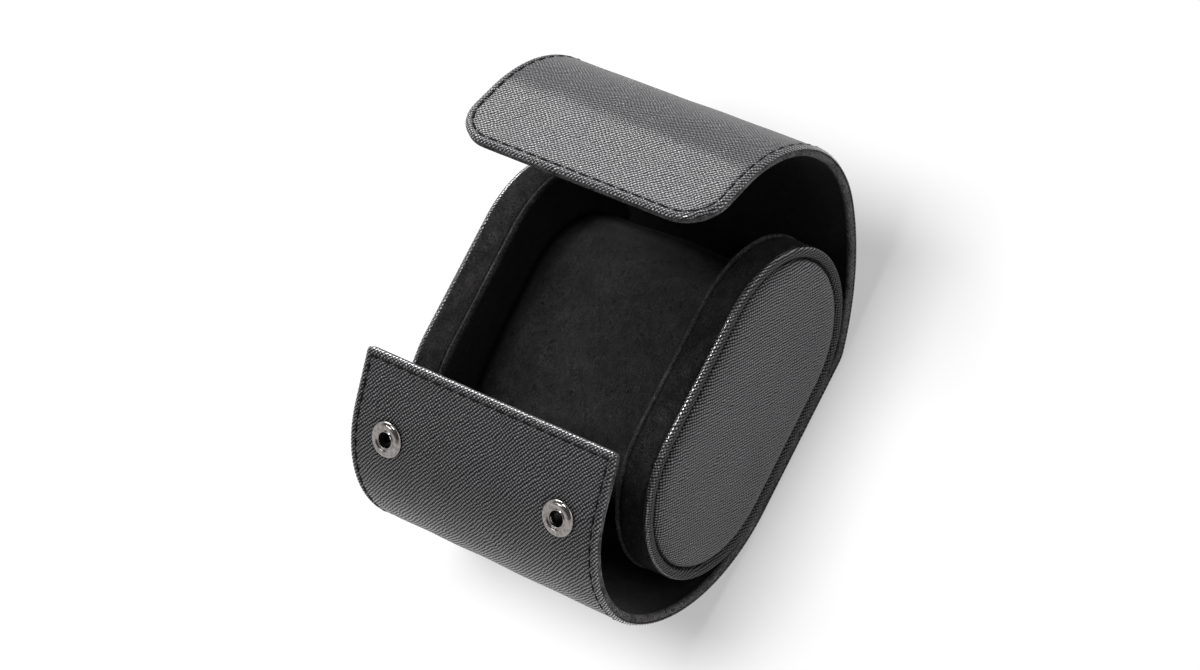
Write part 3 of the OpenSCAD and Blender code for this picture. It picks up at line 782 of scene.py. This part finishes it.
def thread_material():
    """Twisted thread: flat holds the length along the seam and the side of the tube."""
    n = Nodes("black_thread", {"Roughness": 0.7, "Specular IOR Level": 0.15})
    parts = n.node("ShaderNodeSeparateXYZ", {0: n.flat()})
    twist = n.math("MULTIPLY_ADD", parts.outputs["Y"], 1.05, n.math("MULTIPLY", parts.outputs["X"], 9.0))
    ply = n.math("MULTIPLY_ADD", n.math("SINE", twist), 0.5, 0.5)
    n.to_shader("Base Color", n.mix(ply, *BLACK_THREAD_AND_SHADE_COLOURS))
    n.bump(ply, 0.00008)
    return n.material


def dimmed(colour, share=1.0):
    """A colour with each part at a share of its value, and its alpha."""
    return tuple(share * part for part in colour) + (1.0,)


def metal_material(name, colour, roughness):
    """Plated metal with a patchy patina."""
    n = Nodes(name, {"Metallic": 1.0, "Roughness": roughness})
    place = n.node("ShaderNodeTexCoord").outputs["Object"]
    wear = n.noise(place, 900.0, 3.0)
    n.to_shader("Base Color", n.mix(n.remap(wear, 0.3, 0.6, 0.0, 1.0), dimmed(colour, 0.6),
                                    dimmed(colour)))
    n.to_shader("Roughness", n.remap(wear, 0.3, 0.7, roughness * 1.5, roughness * 0.8))
    n.bump(wear, 0.00006)
    return n.material


def plain_fill_material(name, colour, scale, distance):
    """Hidden fillings: board and foam, with a fine grain."""
    n = Nodes(name, {"Roughness": 0.85})
    place = n.node("ShaderNodeTexCoord").outputs["Object"]
    grain = n.noise(place, scale, 4.0, 0.7)
    n.to_shader("Base Color", n.mix(grain, dimmed(colour, 0.75), dimmed(colour)))
    n.bump(grain, distance)
    return n.material


materials = {
    "leather": leather_material(),
    "suede": suede_material("lining_suede", 0.004, 0.019, sheen=0.05),
    # Painted light: the wrap lining's edge is painted much lighter than its face
    "suede_wrap": suede_material("wrap_suede", 0.004, 0.09, sheen=0.05, edge_width=2.0),
    "suede_disc": suede_material("disc_suede", 0.004, 0.045, sheen=0.05),
    # Painted shade: the cushion's pile is painted near-black within 10 mm of its ends and of its back
    "suede_soft": suede_material("cushion_suede", 0.02, 0.003, sheen=0.14, edge_width=10.0),
    "thread": thread_material(),
    "nickel": metal_material("dark_nickel", (0.34, 0.315, 0.305), 0.13),
    # Painted shade: steel coloured near-black for the shade inside the sockets' holes
    "painted_hole_shade": metal_material("painted_hole_shade_steel", (0.02, 0.018, 0.017), 0.4),
    "steel": metal_material("spring_steel", (0.2, 0.18, 0.15), 0.25),
    "board": plain_fill_material("fibre_board", (0.42, 0.36, 0.29), 700.0, 0.0001),
    "foam": plain_fill_material("foam", (0.62, 0.6, 0.52), 1500.0, 0.0002),
}

# ---- Camera: its place, in metres, and its three directions, fitted to the photo ----

LENS, SENSOR = 105.0, 36.0       # millimetres
CAMERA_PLACE = (0.61074, -0.14405, 1.03344)
CAMERA_RIGHT = (0.783263, 0.454982, -0.423663)
CAMERA_UP = (-0.328592, 0.881480, 0.339146)
CAMERA_BACK = (0.527756, -0.126428, 0.839934)


def make_camera():
    camera = bpy.data.objects.new("camera", bpy.data.cameras.new("camera"))
    camera.data.lens = LENS
    camera.data.sensor_width = SENSOR
    camera.data.clip_start = 0.01
    camera.matrix_world = Matrix([(CAMERA_RIGHT[i], CAMERA_UP[i], CAMERA_BACK[i], CAMERA_PLACE[i])
                                  for i in range(3)] + [(0.0, 0.0, 0.0, 1.0)])
    bpy.context.scene.collection.objects.link(camera)
    bpy.context.scene.camera = camera


make_camera()

# ---- Wrap ----

socket_places = [(side_length(FRONT_SIDE) - SOCKET_INSET, x) for x in (-STUD_X, STUD_X)]
front = wrap_layers("front", FRONT_SIDE, FRONT_CORNER_R, socket_places, 3)
top = wrap_layers("top", TOP_SIDE, FLAP_CORNER_R, (), 4)

hinge_s = stretch_length(FRONT_SIDE[0]) + CURVE_R * math.radians(HINGE_A)
hinge = on_wrap(FRONT_SIDE, hinge_s, 0.0, 0.0)
crease_s = stretch_length(TOP_SIDE[0]) + CREASE_R * math.radians(CREASE_A / 2)
flex_s = side_length(TOP_SIDE[:3]) + FLAP_R * math.radians(FLAP_FLEX_A)

for piece in front.values():
    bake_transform(piece)
for piece in top.values():
    tuple(on_wrap(TOP_SIDE, crease_s, 0.0, 0.0))
    tuple(on_wrap(TOP_SIDE, flex_s, 0.0, 0.0))
    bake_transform(piece)

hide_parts("back_leather", "front_leather")
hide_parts("back_leather", "upper_leather", "flap_leather")
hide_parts("lower_board", "back_board", "front_board")
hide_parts("back_board", "upper_board", "flap_board")
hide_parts("back_lining", "front_lining")
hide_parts("back_lining", "upper_lining", "flap_lining")

# ---- Caps, cushion and press studs ----

cap("left_cap", -1, 21)
cap("right_cap", 1, 22)

cover = cushion("cushion_suede_cover", 0.0, materials["suede_soft"], CUSHION_WAVES)
filling = cushion("cushion_foam_filling", COVER_T, materials["foam"], NO_WAVES)
for piece, node, slot in ((cover, "cushion_cover", "cushion_suede"), (filling, "cushion_foam", "foam")):
    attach(piece, "root")
    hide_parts(node)

sockets()

# These pieces are carried over from the part as they are, with materials of this script
# The eyelets take the near-black steel as painted shade inside the holes
for node, material in (("socket_springs", "steel"), ("socket_eyelets", "painted_hole_shade"),
                       ("snap_studs", "nickel"), ("stud_rivets", "nickel"), ("left_cap_core", "board"),
                       ("right_cap_core", "board")):
    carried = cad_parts[node]
    carried.data.materials.clear()
    carried.data.materials.append(materials[material])

# ---- Floor, light and background ----

FLOOR_HALF = 4.0         # metres
FLOOR_WHITE = (0.9, 0.9, 0.9, 1.0)
FLOOR_GLOW = 0.42        # share of even white in what the camera and reflections see of the floor
SKY_FADE = (0.5, 0.72)   # how steep a reflected ray is where it begins to darken, and is darkest
SKY_TOP = 0.12           # its strength there
AMBIENT = 0.18
AIM = (0.0, 0.0, 0.05)   # where the lamps look, in metres


def make_floor():
    """A white floor that shows little of its shadow."""
    mesh = bpy.data.meshes.new("floor")
    corners = [(x * FLOOR_HALF, y * FLOOR_HALF, 0) for x, y in ((-1, -1), (1, -1), (1, 1), (-1, 1))]
    mesh.from_pydata(corners, [], [(0, 1, 2, 3)])
    floor = bpy.data.objects.new("floor", mesh)
    bpy.context.scene.collection.objects.link(floor)
    material = bpy.data.materials.new("white_floor")
    material.use_nodes = True
    tree = material.node_tree
    tree.nodes.clear()
    diffuse = tree.nodes.new("ShaderNodeBsdfDiffuse")
    diffuse.inputs["Color"].default_value = FLOOR_WHITE
    glow = tree.nodes.new("ShaderNodeEmission")
    glow.inputs["Strength"].default_value = 1.0
    mix = tree.nodes.new("ShaderNodeMixShader")
    share = tree.nodes.new("ShaderNodeMath")
    share.operation = "MULTIPLY"
    share.inputs[1].default_value = FLOOR_GLOW
    path = tree.nodes.new("ShaderNodeLightPath")
    seen = path.outputs["Is Camera Ray"]
    for output in ("Is Glossy Ray", "Is Transmission Ray"):
        either = tree.nodes.new("ShaderNodeMath")
        either.operation = "MAXIMUM"
        tree.links.new(seen, either.inputs[0])
        tree.links.new(path.outputs[output], either.inputs[1])
        seen = either.outputs[0]
    tree.links.new(seen, share.inputs[0])
    tree.links.new(share.outputs[0], mix.inputs[0])
    tree.links.new(diffuse.outputs[0], mix.inputs[1])
    tree.links.new(glow.outputs[0], mix.inputs[2])
    out = tree.nodes.new("ShaderNodeOutputMaterial")
    tree.links.new(mix.outputs[0], out.inputs["Surface"])
    mesh.materials.append(material)
    return floor


def make_world():
    """White for the camera. Reflections see it white low down and dark overhead, and diffuse light is the
    same from all round."""
    world = bpy.data.worlds.new("studio")
    bpy.context.scene.world = world
    world.use_nodes = True
    tree = world.node_tree
    background = tree.nodes["Background"]
    background.inputs["Color"].default_value = (1.0, 1.0, 1.0, 1.0)
    path = tree.nodes.new("ShaderNodeLightPath")
    parts = tree.nodes.new("ShaderNodeSeparateXYZ")
    tree.links.new(tree.nodes.new("ShaderNodeTexCoord").outputs["Generated"], parts.inputs[0])
    rise = tree.nodes.new("ShaderNodeMapRange")
    for socket, value in (("From Min", SKY_FADE[0]), ("From Max", SKY_FADE[1]), ("To Min", 1.0),
                          ("To Max", SKY_TOP)):
        rise.inputs[socket].default_value = value
    tree.links.new(parts.outputs["Z"], rise.inputs["Value"])
    strength = AMBIENT
    for output, level in (("Is Glossy Ray", rise.outputs["Result"]), ("Is Transmission Ray", 1.0),
                          ("Is Camera Ray", 1.0)):
        pick = tree.nodes.new("ShaderNodeMix")
        for index, value in ((0, path.outputs[output]), (2, strength), (3, level)):
            if isinstance(value, float):
                pick.inputs[index].default_value = value
            else:
                tree.links.new(value, pick.inputs[index])
        strength = pick.outputs[0]
    tree.links.new(strength, background.inputs["Strength"])


def light_group(name, floor, state):
    """What a lamp lights: the floor alone, or everything but the floor."""
    group = bpy.data.collections.new(name)
    group.objects.link(floor)
    group.collection_objects[0].light_linking.link_state = state
    return group


def make_lamp(name, direction, distance, size, power, receivers):
    """A square soft lamp that looks at the case's middle from a direction. Sizes are in metres."""
    back = np.array(direction, float) / np.linalg.norm(direction)
    side = np.cross([0.0, 0.0, 1.0], back)
    side /= np.linalg.norm(side)
    up = np.cross(back, side)
    place = np.array(AIM) + distance * back
    lamp = bpy.data.objects.new(name, bpy.data.lights.new(name, "AREA"))
    lamp.data.shape = "SQUARE"
    lamp.data.size = size
    lamp.data.energy = power
    lamp.matrix_world = Matrix([(side[i], up[i], back[i], place[i]) for i in range(3)] + [(0, 0, 0, 1)])
    lamp.light_linking.receiver_collection = receivers
    bpy.context.scene.collection.objects.link(lamp)


floor = make_floor()
floor_only = light_group("floor_only", floor, "INCLUDE")
case_only = light_group("case_only", floor, "EXCLUDE")
make_world()
make_lamp("key", (-0.6, 0.68, 0.52), distance=1.0, size=0.6, power=13.0, receivers=case_only)
make_lamp("top", (-0.08, 0.08, 1.0), distance=1.4, size=0.28, power=5.0, receivers=case_only)
make_lamp("front", (-0.42, -0.4, 0.82), distance=1.4, size=0.3, power=1.8, receivers=case_only)
make_lamp("side", (1.0, 0.5, 0.35), distance=1.3, size=0.8, power=2.8, receivers=case_only)
make_lamp("floor", (-0.14, -0.06, 1.0), distance=1.6, size=0.8, power=30.0, receivers=floor_only)
bpy.context.scene.view_settings.view_transform = "Standard"
